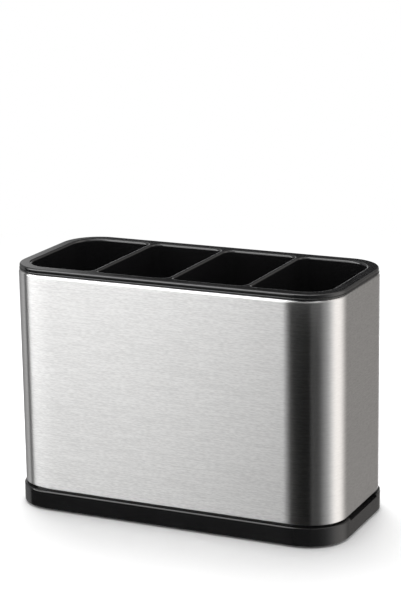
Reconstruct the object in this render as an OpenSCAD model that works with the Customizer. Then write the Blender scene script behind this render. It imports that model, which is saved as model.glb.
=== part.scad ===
// Kitchen utensil holder: a brushed steel sleeve on a black drip tray, with a lift-out four-compartment caddy.
// Origin at the middle of the footprint, on the surface it stands on. X is the long side, the front faces -Y.

/* [Steel sleeve] */
// Outer width of the sleeve
sleeve_w = 200; // [150:1:260]
// Outer depth of the sleeve
sleeve_d = 91.5; // [75:0.5:130]
// Height of the sleeve
sleeve_h = 127.4; // [80:0.1:180]
// Outer radius of the sleeve's upright corners
sleeve_corner_r = 22.5; // [17:0.5:30]
// Thickness of the sheet steel
sheet_t = 0.6; // [0.4:0.1:0.9]
// Outer radius of the turned-in edges
bend_r = 1.2; // [1:0.1:1.4]
// Reach of the turned-in top edge, from the outer face
top_lip = 1.5; // [1.5:0.1:2]
// Reach of the turned-in bottom edge, from the outer face
bottom_lip = 4; // [3.4:0.1:5]

/* [Top ring] */
// Height of the ring that shows above the steel
ring_lip_h = 1.1; // [0.8:0.1:2]
// Setback of the ring's outer edge from the steel
ring_inset = 0.2; // [0.1:0.1:0.8]
// Radius of the ring's two outer edges
ring_edge_r = 0.4; // [0.1:0.1:0.5]
// Reach of the ring's ledge under the caddy's rim, from the steel's outer face
ring_ledge = 5.1; // [4:0.1:6.5]
// Depth of the ring's skirt inside the sleeve
ring_skirt_h = 10; // [5:0.5:20]
// Thickness of the ring's skirt
ring_skirt_t = 1.2; // [0.8:0.1:1.6]
// Gap between the skirt and the sleeve's top edge
ring_fit = 0.1; // [0.05:0.05:0.2]

/* [Cutlery caddy] */
// Thickness of the rim
rim_h = 2.3; // [2:0.1:5]
// Setback of the rim's outer edge from the steel
rim_inset = 0.4; // [0.2:0.1:0.9]
// Radius of the rim's upper outer edge
rim_edge_r = 1; // [0.4:0.1:1.5]
// Radius of the rim's lower outer edge
rim_foot_r = 0.3; // [0.1:0.1:0.5]
// Wall thickness of the caddy
caddy_wall = 2; // [1.6:0.1:3]
// Gap between the caddy's wall and the ring's ledge
caddy_fit = 0.4; // [0.3:0.05:0.8]
// Thickness of the caddy's floor
caddy_floor_t = 2; // [1.4:0.1:4]
// Gap between the caddy's underside and the tray's spigot
caddy_rise = 1.2; // [0.8:0.1:10]
// Draft of the moulded walls, in degrees
draft = 0.5; // [0.2:0.1:0.8]
// Compartments side by side
compartments = 4; // [2:1:5]
// Thickness of a divider below its rounded top
divider_t = 2.8; // [2:0.1:4]
// Radius where a divider runs out into a wall
divider_fillet_r = 5; // [4.5:0.5:9]
// Radius of the inner top edges, which also rounds the tops of the dividers
mouth_edge_r = 1.3; // [0.4:0.1:2.6]
// Chamfer round each compartment's floor
floor_chamfer = 2; // [1:0.1:2.5]
// Drain slots in each compartment
slots = 3; // [1:1:3]
// Width of a drain slot
slot_w = 3.5; // [2:0.1:4]
// Length of a drain slot
slot_l = 48; // [20:1:52]
// Spacing of the drain slots
slot_pitch = 10; // [6:0.5:10]

/* [Base tray] */
// Height of the plinth's outer wall
plinth_h = 10.7; // [8:0.1:20]
// Overhang of the plinth past the steel
plinth_proud = 1.2; // [0.4:0.1:3]
// Radius of the plinth's upper edge
plinth_edge_r = 0.8; // [0.3:0.1:1.2]
// Radius of the plinth's lower edge
plinth_foot_r = 0.5; // [0.2:0.1:0.8]
// Height of the shadow gap between plinth and steel
shadow_gap = 1.1; // [0.8:0.1:3]
// Setback of the wall behind the shadow gap, from the steel
ledge_inset = 2; // [1.5:0.1:2.2]
// Height of the spigot that locates the sleeve
spigot_h = 3; // [2:0.1:6]
// Gap between the spigot and the sleeve's bottom edge
spigot_fit = 0.4; // [0.3:0.05:0.8]
// Wall thickness of the tray
tray_wall = 2.2; // [1.8:0.1:2.4]
// Thickness of the basin's floor
tray_floor_t = 2.4; // [2.2:0.1:4]
// Length of the grip notch in each end
notch_l = 42; // [20:1:46]
// Depth of the grip notch below the plinth's upper edge
notch_depth = 1.5; // [0.6:0.1:1.6]
// Reach of the grip notch inwards from the steel
notch_reach = 3; // [2:0.1:3.2]

/* [Feet] */
// Diameter of a foot pad
foot_d = 12; // [8:0.5:16]
// Thickness of a foot pad
foot_t = 1.8; // [1.4:0.1:2.4]
// Part of the pad that stands out below the tray
foot_proud = 1; // [0.6:0.1:1.2]
// Radius of the pad's lower edge
foot_edge_r = 0.4; // [0.2:0.1:0.5]
// Gap between a pad and its recess, all round
foot_fit = 0.2; // [0.1:0.05:0.4]
// Distance of a pad's middle from the plinth's faces
foot_inset = 25; // [22:1:32]

/* [Hidden] */
$fn = 96;
black = [0.05, 0.05, 0.055];
rubber_black = [0.12, 0.12, 0.12];
steel = [0.8, 0.8, 0.79];

// Heights above the surface
tray_z = foot_proud;
plinth_top_z = tray_z + plinth_h;
sleeve_z = plinth_top_z + shadow_gap;
spigot_top_z = sleeve_z + spigot_h;
basin_z = tray_z + tray_floor_t;
sleeve_top_z = sleeve_z + sleeve_h;
rim_z = sleeve_top_z + ring_lip_h;
rim_top_z = rim_z + rim_h;
caddy_z = spigot_top_z + caddy_rise;
caddy_floor_z = caddy_z + caddy_floor_t;

// Distances between the corner axes, which every outline shares
axes_w = sleeve_w - 2 * sleeve_corner_r;
axes_d = sleeve_d - 2 * sleeve_corner_r;

// Setbacks from the steel's outer face
skirt_in = top_lip + ring_fit + ring_skirt_t;
caddy_out = ring_ledge + caddy_fit;
caddy_in = caddy_out + caddy_wall;
spigot_out = bottom_lip + spigot_fit;
spigot_in = spigot_out + tray_wall;

// Compartments
mouth_w = sleeve_w - 2 * caddy_in;
mouth_d = sleeve_d - 2 * caddy_in;
mouth_corner_r = sleeve_corner_r - caddy_in;
compartment_w = (mouth_w - (compartments - 1) * divider_t) / compartments;
compartment_pitch = compartment_w + divider_t;
caddy_taper = (rim_z - caddy_z) * tan(draft);
pocket_taper = (rim_top_z - mouth_edge_r - caddy_floor_z) * tan(draft);

// Plinth
plinth_w = sleeve_w + 2 * plinth_proud;
plinth_d = sleeve_d + 2 * plinth_proud;

// Distance from a corner's axis to a surface that is set back from the steel's outer face
function at(setback) = sleeve_corner_r - setback;

// Sweeps a section round the sleeve's oblong outline. In the section, x is outward from the corner's axis.
module round_the_outline() {
    for (side = [0:3]) {
        along = side % 2 == 0 ? axes_d / 2 : axes_w / 2;
        across = side % 2 == 0 ? axes_w / 2 : axes_d / 2;
        rotate([0, 0, 90 * side])
            translate([across, along, 0]) {
                rotate([90, 0, 0])
                    linear_extrude(2 * along)
                        children();
                rotate_extrude(angle = 90)
                    children();
            }
    }
}

// Fills the oblong between the corner axes, for a section that reaches in to them
module core(z_low, z_high) {
    translate([-axes_w / 2, -axes_d / 2, z_low])
        cube([axes_w, axes_d, z_high - z_low]);
}

// Section of a flange from the corner's axis out to x, with its two outer edges rounded
module rounded_flange(x, z_low, z_high, r_low, r_high) {
    polygon([
        [0, z_low],
        [x - r_low, z_low],
        [x, z_low + r_low],
        [x, z_high - r_high],
        [x - r_high, z_high],
        [0, z_high]
    ]);
    translate([x - r_low, z_low + r_low])
        circle(r_low);
    translate([x - r_high, z_high - r_high])
        circle(r_high);
}

// Quarter of a bent strip, from its outside straight up to its top
module bend() {
    intersection() {
        difference() {
            circle(bend_r);
            circle(bend_r - sheet_t);
        }
        square(bend_r);
    }
}

module base_tray() {
    color(black)
        difference() {
            union() {
                round_the_outline()
                    base_section();
                core(tray_z, basin_z);
            }
            for (end = [0, 180])
                rotate([0, 0, end])
                    translate([sleeve_w / 2 - notch_reach, -notch_l / 2, plinth_top_z - notch_depth])
                        cube([
                            notch_reach + plinth_proud + notch_depth,
                            notch_l,
                            notch_depth + shadow_gap + spigot_h
                        ]);
            for (side = [-1, 1], row = [-1, 1])
                foot_place(side, row)
                    cylinder(d = foot_d + 2 * foot_fit, h = foot_t);
        }
}

// Section of the tray: plinth, ledge under the steel, spigot and basin, with a groove moulded in from below
module base_section() {
    difference() {
        union() {
            rounded_flange(at(-plinth_proud), tray_z, plinth_top_z, plinth_foot_r, plinth_edge_r);
            translate([0, tray_z])
                square([at(ledge_inset), sleeve_z - tray_z]);
            translate([0, tray_z])
                square([at(spigot_out), spigot_top_z - tray_z]);
        }
        translate([0, basin_z])
            square([at(spigot_in), spigot_top_z - basin_z]);
        translate([at(spigot_out), tray_z])
            square([spigot_out + plinth_proud - tray_wall, plinth_h - tray_wall]);
    }
}

module foot_place(side, row) {
    translate([side * (plinth_w / 2 - foot_inset), row * (plinth_d / 2 - foot_inset), 0])
        children();
}

module foot(side, row) {
    color(rubber_black)
        foot_place(side, row)
            rotate_extrude() {
                polygon([
                    [0, 0],
                    [foot_d / 2 - foot_edge_r, 0],
                    [foot_d / 2, foot_edge_r],
                    [foot_d / 2, foot_t],
                    [0, foot_t]
                ]);
                translate([foot_d / 2 - foot_edge_r, foot_edge_r])
                    circle(foot_edge_r);
            }
}

module steel_sleeve() {
    color(steel)
        round_the_outline() {
            translate([at(sheet_t), sleeve_z + bend_r])
                square([sheet_t, sleeve_h - 2 * bend_r]);
            translate([at(bend_r), sleeve_top_z - bend_r])
                bend();
            translate([at(top_lip), sleeve_top_z - sheet_t])
                square([top_lip - bend_r, sheet_t]);
            translate([at(bend_r), sleeve_z + bend_r])
                mirror([0, 1])
                    bend();
            translate([at(bottom_lip), sleeve_z])
                square([bottom_lip - bend_r, sheet_t]);
        }
}

module top_ring() {
    color(black)
        round_the_outline() {
            difference() {
                rounded_flange(at(ring_inset), sleeve_top_z, rim_z, ring_edge_r, ring_edge_r);
                translate([0, sleeve_top_z])
                    square([at(ring_ledge), ring_lip_h]);
            }
            translate([at(skirt_in), sleeve_top_z - ring_skirt_h])
                square([ring_skirt_t, ring_skirt_h + ring_lip_h]);
        }
}

module cutlery_caddy() {
    color(black)
        difference() {
            union() {
                round_the_outline()
                    caddy_section();
                core(caddy_z, rim_top_z);
            }
            for (i = [0:compartments - 1])
                translate([(i - (compartments - 1) / 2) * compartment_pitch, 0, 0]) {
                    compartment(
                        i == 0 ? mouth_corner_r : divider_fillet_r,
                        i == compartments - 1 ? mouth_corner_r : divider_fillet_r
                    );
                    drain_slots();
                }
        }
}

// Section of the caddy's outside, drafted below the rim and filled in to the corner's axis
module caddy_section() {
    polygon([
        [0, caddy_z],
        [at(caddy_out + caddy_taper + floor_chamfer), caddy_z],
        [at(caddy_out + caddy_taper), caddy_z + floor_chamfer],
        [at(caddy_out), rim_z],
        [0, rim_z]
    ]);
    rounded_flange(at(rim_inset), rim_z, rim_top_z, rim_foot_r, rim_edge_r);
}

// Section of a compartment from a corner's axis to the wall, drafted, with a rounded mouth
module pocket_section(r) {
    difference() {
        polygon([
            [0, caddy_floor_z],
            [r - pocket_taper - floor_chamfer, caddy_floor_z],
            [r - pocket_taper, caddy_floor_z + floor_chamfer],
            [r, rim_top_z - mouth_edge_r],
            [r + mouth_edge_r, rim_top_z - mouth_edge_r],
            [r + mouth_edge_r, rim_top_z],
            [0, rim_top_z]
        ]);
        translate([r + mouth_edge_r, rim_top_z - mouth_edge_r])
            circle(mouth_edge_r);
    }
}

// Hollow of one compartment, with its own corner radius at the left and at the right
module compartment(r_left, r_right) {
    r_min = min(r_left, r_right);
    x_left = r_left - compartment_w / 2;
    x_right = compartment_w / 2 - r_right;
    for (row = [0, 1]) {
        mirror([0, row, 0]) {
            translate([x_right, mouth_d / 2 - r_right, 0])
                rotate_extrude(angle = 90)
                    pocket_section(r_right);
            translate([x_left, mouth_d / 2 - r_left, 0])
                rotate([0, 0, 90])
                    rotate_extrude(angle = 90)
                        pocket_section(r_left);
            translate([x_left, mouth_d / 2 - r_min, 0])
                rotate([90, 0, 90])
                    linear_extrude(x_right - x_left)
                        pocket_section(r_min);
        }
    }
    translate([x_right, mouth_d / 2 - r_right, 0])
        rotate([90, 0, 0])
            linear_extrude(mouth_d - 2 * r_right)
                pocket_section(r_right);
    translate([x_left, r_left - mouth_d / 2, 0])
        rotate([90, 0, 180])
            linear_extrude(mouth_d - 2 * r_left)
                pocket_section(r_left);
    translate([x_left, r_min - mouth_d / 2, caddy_floor_z])
        cube([x_right - x_left, mouth_d - 2 * r_min, rim_top_z - caddy_floor_z]);
}

module drain_slots() {
    straight = slot_l - slot_w;
    for (i = [0:slots - 1])
        translate([(i - (slots - 1) / 2) * slot_pitch, 0, caddy_z])
            linear_extrude(caddy_floor_t) {
                square([slot_w, straight], center = true);
                for (end = [-1, 1])
                    translate([0, end * straight / 2])
                        circle(d = slot_w);
            }
}

base_tray();
foot(-1, -1);  // foot_front_left
foot(1, -1);  // foot_front_right
foot(-1, 1);  // foot_rear_left
foot(1, 1);  // foot_rear_right
steel_sleeve();
top_ring();
cutlery_caddy();
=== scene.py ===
import math

import bmesh
import bpy
from mathutils import Matrix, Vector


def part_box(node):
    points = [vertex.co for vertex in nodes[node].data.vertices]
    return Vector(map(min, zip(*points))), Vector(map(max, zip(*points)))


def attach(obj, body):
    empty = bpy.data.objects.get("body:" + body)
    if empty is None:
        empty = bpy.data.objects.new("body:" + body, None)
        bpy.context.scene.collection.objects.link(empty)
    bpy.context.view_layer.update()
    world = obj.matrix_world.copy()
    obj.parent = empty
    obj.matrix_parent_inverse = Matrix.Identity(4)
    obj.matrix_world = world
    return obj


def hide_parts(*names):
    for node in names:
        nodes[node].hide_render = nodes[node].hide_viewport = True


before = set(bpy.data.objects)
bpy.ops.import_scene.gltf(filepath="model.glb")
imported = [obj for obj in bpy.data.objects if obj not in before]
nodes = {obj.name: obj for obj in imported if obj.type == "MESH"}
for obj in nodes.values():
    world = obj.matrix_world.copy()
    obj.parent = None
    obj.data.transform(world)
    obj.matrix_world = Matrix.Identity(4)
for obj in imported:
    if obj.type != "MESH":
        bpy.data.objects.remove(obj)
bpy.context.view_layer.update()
bpy.ops.object.select_all(action="DESELECT")


# Four pads of black rubber, punched from sheet and pressed into round recesses under the tray.
# They keep the holder from sliding on a worktop. Their cut faces are matt and a little dusty.
pad_black = (0.018, 0.018, 0.018, 1)
pad_dust = (0.045, 0.044, 0.042, 1)
pad_dullness = 0.72
pad_gloss = 0.35
pad_grain_depth = 0.00008


class Wire:
    """One socket of a finish. Arithmetic on it adds Math nodes, and node() adds any other node."""

    def __init__(self, socket):
        self.socket = socket

    def node(self, kind, output=0, settings=(), **sockets):
        added = self.socket.id_data.nodes.new(kind)
        for name, value in dict(settings).items():
            setattr(added, name, value)
        for name, value in sockets.items():
            key = int(name[1:]) if name[1:].isdigit() else name.replace("_", " ")
            self.plug(added.inputs[key], value)
        return Wire(added.outputs[output])

    def plug(self, target, value):
        if isinstance(value, Wire):
            self.socket.id_data.links.new(value.socket, target)
        else:
            target.default_value = value

    def math(self, operation, first, second=0.0):
        return self.node("ShaderNodeMath", settings={"operation": operation}, _0=first, _1=second)

    def __add__(self, other):
        return self.math("ADD", self, other)

    def __sub__(self, other):
        return self.math("SUBTRACT", self, other)

    def __mul__(self, other):
        return self.math("MULTIPLY", self, other)

    __radd__ = __add__
    __rmul__ = __mul__

    def __rsub__(self, other):
        return self.math("SUBTRACT", other, self)

    def rise(self, low, high):
        """0 below low, 1 above high, and smooth in between."""
        smooth = {"interpolation_type": "SMOOTHSTEP"}
        return self.node("ShaderNodeMapRange", 0, smooth, Value=self, From_Min=low, From_Max=high)

    def stretched(self, x, y, z):
        """A place, with each axis scaled."""
        return self.node("ShaderNodeVectorMath", 0, {"operation": "MULTIPLY"}, _0=self, _1=(x, y, z))

    def noise(self, scale, detail=2.0, roughness=0.5):
        """Cloudy pattern of 0 to 1 at this place, with scale cells to the metre."""
        look = {"Scale": scale, "Detail": detail, "Roughness": roughness}
        return self.node("ShaderNodeTexNoise", "Fac", Vector=self, **look)

    def axes(self, letters):
        """The chosen coordinates of a place or a direction."""
        return [self.node("ShaderNodeSeparateXYZ", letter, Vector=self) for letter in letters]

    def blend(self, dark, pale):
        """A colour between the two, by this value."""
        return self.node("ShaderNodeMix", 2, {"data_type": "RGBA"}, Factor=self, _6=dark, _7=pale)

    def relief(self, depth):
        """Surface normal of a relief, this value high and depth metres deep."""
        return self.node("ShaderNodeBump", Height=self, Strength=1.0, Distance=depth)


def new_finish(name):
    """An empty finish: its material, its shader and the place on the piece."""
    material = bpy.data.materials.new(name)
    material.use_nodes = True
    shader = material.node_tree.nodes["Principled BSDF"]
    place = Wire(shader.outputs["BSDF"]).node("ShaderNodeTexCoord", "Object")
    return material, shader, place


def wear(piece, material):
    """Gives a piece this finish."""
    piece.data.materials.clear()
    piece.data.materials.append(material)


rubber, shader, place = new_finish("foot_rubber")
dust = place.noise(260.0, 3.0).rise(0.45, 0.75)
grain = place.noise(2600.0, 2.0)
place.plug(shader.inputs["Base Color"], dust.blend(pad_black, pad_dust))
place.plug(shader.inputs["Roughness"], pad_dullness + 0.14 * grain)
place.plug(shader.inputs["Normal"], grain.relief(pad_grain_depth))
shader.inputs["Specular IOR Level"].default_value = pad_gloss
for name in ("foot_front_left", "foot_front_right", "foot_rear_left", "foot_rear_right"):
    wear(nodes[name], rubber)


# The drip tray: one moulding in black plastic, polished on its plinth, with a basin inside and
# a spigot that locates the sleeve. The skin of the moulding waves very slightly, and handling
# leaves faint dull patches on it.
plastic_black = (0.007, 0.007, 0.0073, 1)
plastic_grey = (0.01, 0.01, 0.0104, 1)
tray_wave = 0.000012
tray_haze = 0.14
tray_gloss = 0.6


def black_moulding(name, wave, haze, gloss):
    """Black plastic with a skin that waves this deep in metres, this dull and this glossy."""
    material, shader, place = new_finish(name)
    swirl = place.noise(38.0, 3.0, 0.6)
    speck = place.noise(3200.0, 1.0)
    ripple = place.noise(420.0, 2.0)
    place.plug(shader.inputs["Base Color"], swirl.blend(plastic_black, plastic_grey))
    place.plug(shader.inputs["Roughness"], haze + 0.03 * swirl.rise(0.35, 0.7) + 0.03 * speck)
    place.plug(shader.inputs["Normal"], (ripple + 0.15 * speck).relief(wave))
    shader.inputs["Specular IOR Level"].default_value = gloss
    return material


tray_plastic = black_moulding("tray_black_plastic", tray_wave, tray_haze, tray_gloss)
wear(nodes["base_tray"], tray_plastic)


# The sleeve: thin stainless sheet, brushed level, bent into an oblong and welded at the back. It
# runs softly into its round corners, as a bend without a hard die does. Its top and bottom edges
# are turned in, so no cut edge shows, and it stands on the tray's ledge, round the spigot.
sheet = 0.0006
corner_reach = 0.0235
corner_stretch = 1.25  # how much further a corner reaches along the front than along the end
corner_profile = 0.554
corner_steps = 40
top_edge = (0.0014, 0.00189, 0.0001)  # depth and height of the bend, width of the flat lip after it
bottom_edge = (0.0005, 0.0005, 0.0035)
edge_profile = 0.5
edge_steps = 7
crease = math.radians(40.0)
nearly_level = 0.99
tiny = 0.00001
steel_dark = (0.69, 0.686, 0.68, 1)
steel_pale = (0.85, 0.847, 0.84, 1)
steel_dullness = 0.275
long_stroke = (60.0, 60.0, 1500.0)  # cells to the metre along each axis
short_stroke = (330.0, 330.0, 2400.0)
long_share, short_share = 0.4, 0.6
stroke_depth = 0.000003
fading = 0.65  # how much of the strokes is lost on the bent corners


def pick(piece, edges=None, faces=None):
    """In edit mode, selects just the edges or the faces that a test picks."""
    bpy.ops.mesh.select_mode(type="EDGE" if edges else "FACE")
    bpy.ops.mesh.select_all(action="DESELECT")
    mesh = bmesh.from_edit_mesh(piece.data)
    for item in mesh.edges if edges else mesh.faces:
        if (edges or faces)(item):
            item.select_set(True)
    bmesh.update_edit_mesh(piece.data)


def stands(edge):
    """True for an edge that isn't level."""
    return abs(edge.verts[0].co.z - edge.verts[1].co.z) > tiny


def apply(piece, kind, **settings):
    """Adds one modifier with these settings and applies it."""
    modifier = piece.modifiers.new(kind.title(), kind)
    for name, value in settings.items():
        setattr(modifier, name, value)
    bpy.ops.object.modifier_apply(modifier=modifier.name)


low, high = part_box("steel_sleeve")
bpy.ops.mesh.primitive_cube_add(size=1.0, location=[(a + b) / 2 for a, b in zip(low, high)])
sleeve = bpy.context.object
sleeve.name = "brushed_sleeve"
sleeve.scale = [(high[0] - low[0]) / corner_stretch, high[1] - low[1], high[2] - low[2]]
bpy.ops.object.transform_apply(location=True, rotation=True, scale=True)
bpy.ops.object.mode_set(mode="EDIT")
pick(sleeve, edges=stands)
bpy.ops.mesh.bevel(
    offset=corner_reach, segments=corner_steps, profile=corner_profile, affect="EDGES"
)
bpy.ops.mesh.select_all(action="SELECT")
bpy.ops.transform.resize(value=(corner_stretch, 1.0, 1.0))
for facing, level, (depth, height, lip) in ((1, high[2], top_edge), (-1, low[2], bottom_edge)):
    pick(sleeve, edges=lambda edge: not stands(edge) and abs(edge.verts[0].co.z - level) < tiny)
    bpy.ops.mesh.bevel(offset=depth, segments=edge_steps, profile=edge_profile, affect="EDGES")
    pick(sleeve, edges=lambda edge: all(abs(end.co.z - level) < depth + tiny for end in edge.verts))
    bpy.ops.transform.resize(value=(1.0, 1.0, height / depth), center_override=(0.0, 0.0, level))
    pick(sleeve, faces=lambda face: face.normal.z * facing > nearly_level and len(face.verts) > 4)
    bpy.ops.mesh.inset(thickness=lip, use_even_offset=True)
    bpy.ops.mesh.delete(type="FACE")
bpy.ops.mesh.select_all(action="SELECT")
bpy.ops.mesh.normals_make_consistent(inside=False)
bpy.ops.object.mode_set(mode="OBJECT")
apply(sleeve, "SOLIDIFY", thickness=sheet, offset=-1.0, use_even_offset=True)
bpy.ops.object.shade_smooth_by_angle(angle=crease)
apply(sleeve, "WEIGHTED_NORMAL", keep_sharp=True)

steel, shader, place = new_finish("sleeve_brushed_steel")
long_strokes = place.stretched(*long_stroke).noise(1.0, 3.0, 0.6)
short_strokes = place.stretched(*short_stroke).noise(1.0, 2.0)
strokes = long_share * long_strokes + short_share * short_strokes
across, back = place.axes("XY")
bent = (across * across).rise(0.0064, 0.0081) * (back * back).rise(0.0005, 0.0009)
strokes = strokes + fading * bent * (0.5 - strokes)
place.plug(shader.inputs["Base Color"], strokes.rise(0.36, 0.64).blend(steel_dark, steel_pale))
place.plug(shader.inputs["Roughness"], steel_dullness + 0.01 * strokes)
place.plug(shader.inputs["Normal"], strokes.relief(stroke_depth))
shader.inputs["Metallic"].default_value = 1.0
shader.inputs["Anisotropic"].default_value = 1.0
shader.inputs["Anisotropic Rotation"].default_value = 0.25
wear(sleeve, steel)
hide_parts("steel_sleeve")
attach(sleeve, "sleeve")


# The top ring: a thin black moulding with a skirt, pushed into the sleeve's mouth. It covers the
# turned-in edge and carries the caddy's rim.
ring_wave = 0.000008
ring_haze = 0.16
ring_gloss = 0.8
ring_plastic = black_moulding("ring_black_plastic", ring_wave, ring_haze, ring_gloss)
wear(nodes["top_ring"], ring_plastic)


# The caddy: one deep moulding in polished black plastic with four compartments, rounded lips and
# drain slots. It hangs by its rim on the ring and lifts out for washing.
caddy_wave = 0.00001
caddy_haze = 0.12
caddy_gloss = 0.8
caddy_plastic = black_moulding("caddy_black_plastic", caddy_wave, caddy_haze, caddy_gloss)
wear(nodes["cutlery_caddy"], caddy_plastic)


# The studio: a plain pale floor that fades into a white surround, and one soft lamp overhead.
# What shines mirrors soft panels to the front left and the right, with pale walls between them,
# and a black card close to the right front corner, which draws the dark band on the steel.
floor_size = 8.0
floor_grey = (0.86, 0.86, 0.86, 1)
floor_pale = (0.88, 0.88, 0.88, 1)
white = (1, 1, 1, 1)
fade_from, fade_to = 0.25, 0.75  # the floor turns white between these distances
bpy.ops.mesh.primitive_plane_add(size=floor_size)
floor = bpy.context.object
floor.name = "floor"
floor_paint, shader, place = new_finish("floor_paint")
place.plug(shader.inputs["Base Color"], place.noise(3.0).blend(floor_grey, floor_pale))
shader.inputs["Roughness"].default_value = 1.0
shader.inputs["Specular IOR Level"].default_value = 0.0
distance = place.node("ShaderNodeVectorMath", "Value", {"operation": "LENGTH"}, _0=place)
seen = place.node("ShaderNodeLightPath", "Is Camera Ray")
glow = place.node("ShaderNodeEmission", Color=white, Strength=1.0)
paint = Wire(shader.outputs["BSDF"])
faded = seen * distance.rise(fade_from, fade_to)
surface = place.node("ShaderNodeMixShader", _0=faded, _1=paint, _2=glow)
place.plug(floor_paint.node_tree.nodes["Material Output"].inputs["Surface"], surface)
floor.data.materials.append(floor_paint)
floor.visible_glossy = False

world = bpy.data.worlds.new("studio")
bpy.context.scene.world = world
world.use_nodes = True
backdrop = world.node_tree.nodes["Background"]
sky = Wire(backdrop.outputs[0])
x, y, z = sky.node("ShaderNodeTexCoord", "Generated").axes("XYZ")
degrees = 180.0 / math.pi
bearing = sky.math("ARCTAN2", x, -1.0 * y) * degrees  # from the front, positive towards the right
lift = sky.math("ARCSINE", z) * degrees  # above the horizon


def between(angle, start, low, high, end):
    """1 from low to high, fading out to the start and to the end."""
    return angle.rise(start, low) * (1.0 - angle.rise(high, end))


dim_middle = 1.0 - 0.6 * between(lift, 20.0, 34.0, 62.0, 68.0)
front_left = between(bearing, -81.0, -66.0, -28.5, -12.5) * lift.rise(-10.5, 2.5) * dim_middle
front_left = front_left * (1.4 - 0.4 * bearing.rise(-70.0, -20.0))
front_left_strip = between(bearing, -66.0, -62.0, -30.0, -26.0)
front_left_strip = front_left_strip * between(lift, 40.0, 43.0, 60.0, 63.0)
front_wall = between(bearing, -22.0, -10.0, 45.0, 75.0)
front_strip = between(bearing, -26.0, -22.0, 45.0, 60.0) * between(lift, 42.0, 46.0, 60.0, 63.0)
left_wall = between(bearing, -152.5, -149.5, -91.0, -86.0)
left_wall = left_wall * (0.26 + 0.23 * bearing.rise(-125.0, -95.0))
left_back = between(bearing, -152.5, -149.5, -142.0, -132.0)
low_back = (1.0 - bearing.rise(-152.0, -146.0)) * (1.0 - lift.rise(5.0, 10.0))
right_wall = bearing.rise(42.0, 58.0) + 1.0 - bearing.rise(-178.0, -166.0)
right_panel = between(bearing, 62.0, 105.0, 116.0, 156.0)
overhead = lift.rise(66.0, 80.0)
studio = 0.006
for brightness, light in (
    (3.45, front_left), (3.2, front_left_strip), (0.6, front_wall), (1.7, front_strip),
    (1.0, left_wall), (0.35, left_back), (0.9, low_back),
    (0.27, right_wall), (0.88, right_panel), (0.8, overhead),
):
    studio = studio + brightness * light
warm_white = (1.06, 1.02, 0.985, 1)
mirrored = sky.node("ShaderNodeLightPath", "Is Glossy Ray")
warmth = mirrored * bearing.rise(70.0, 110.0)
sky.plug(backdrop.inputs["Color"], warmth.blend(white, warm_white))
sky.plug(backdrop.inputs["Strength"], 1.0 + mirrored * (studio - 1.0))

card_middle = (0.12, -0.0608, 0.05)
card_width, card_height = 0.12, 0.22
card_black = (0.005, 0.005, 0.005, 1)
upright = (math.pi / 2, 0.0, 0.0)
bpy.ops.mesh.primitive_plane_add(size=1.0, location=card_middle, rotation=upright)
card = bpy.context.object
card.name = "black_card"
card.scale = (card_width, card_height, 1.0)
bpy.ops.object.transform_apply(location=True, rotation=True, scale=True)
card_paper, shader, place = new_finish("card_paper")
along, upward = place.axes("XZ")
shader.inputs["Base Color"].default_value = card_black
shader.inputs["Specular IOR Level"].default_value = 0.0
left_end = along.rise(0.0642, 0.0727)
right_end = 1.0 - 0.075 * along.rise(0.09, 0.0965) - 0.925 * along.rise(0.102, 0.168)
top_end = 1.0 - upward.rise(0.154, 0.158)
place.plug(shader.inputs["Alpha"], left_end * right_end * top_end)
card.data.materials.append(card_paper)
card.visible_camera = False
card.visible_diffuse = False
card.visible_shadow = False

lamp_place = (-0.2, 0.35, 0.9)
lamp_size = 0.7
lamp_power = 8.0
bpy.ops.object.light_add(type="AREA", location=lamp_place)
lamp = bpy.context.object
lamp.data.shape = "RECTANGLE"
lamp.data.size = lamp_size
lamp.data.size_y = lamp_size
lamp.data.energy = lamp_power
lamp.rotation_euler = (-lamp.location).to_track_quat("-Z", "Y").to_euler()
lamp.visible_camera = False
lamp.visible_glossy = False

camera_place = (0.47185, -1.0082, 0.40649)
turned, tilted, rolled = 0.43649, math.pi / 2 - 0.25026, -0.01514
film_height, lens_length = 36.0, 120.523
bpy.ops.object.camera_add()
camera = bpy.context.object
camera.data.sensor_fit = "VERTICAL"
camera.data.sensor_height = film_height
camera.data.lens = lens_length
camera.matrix_world = (
    Matrix.Translation(camera_place)
    @ Matrix.Rotation(turned, 4, "Z")
    @ Matrix.Rotation(tilted, 4, "X")
    @ Matrix.Rotation(rolled, 4, "Z")
)
bpy.context.scene.camera = camera
bpy.context.scene.view_settings.view_transform = "Standard"
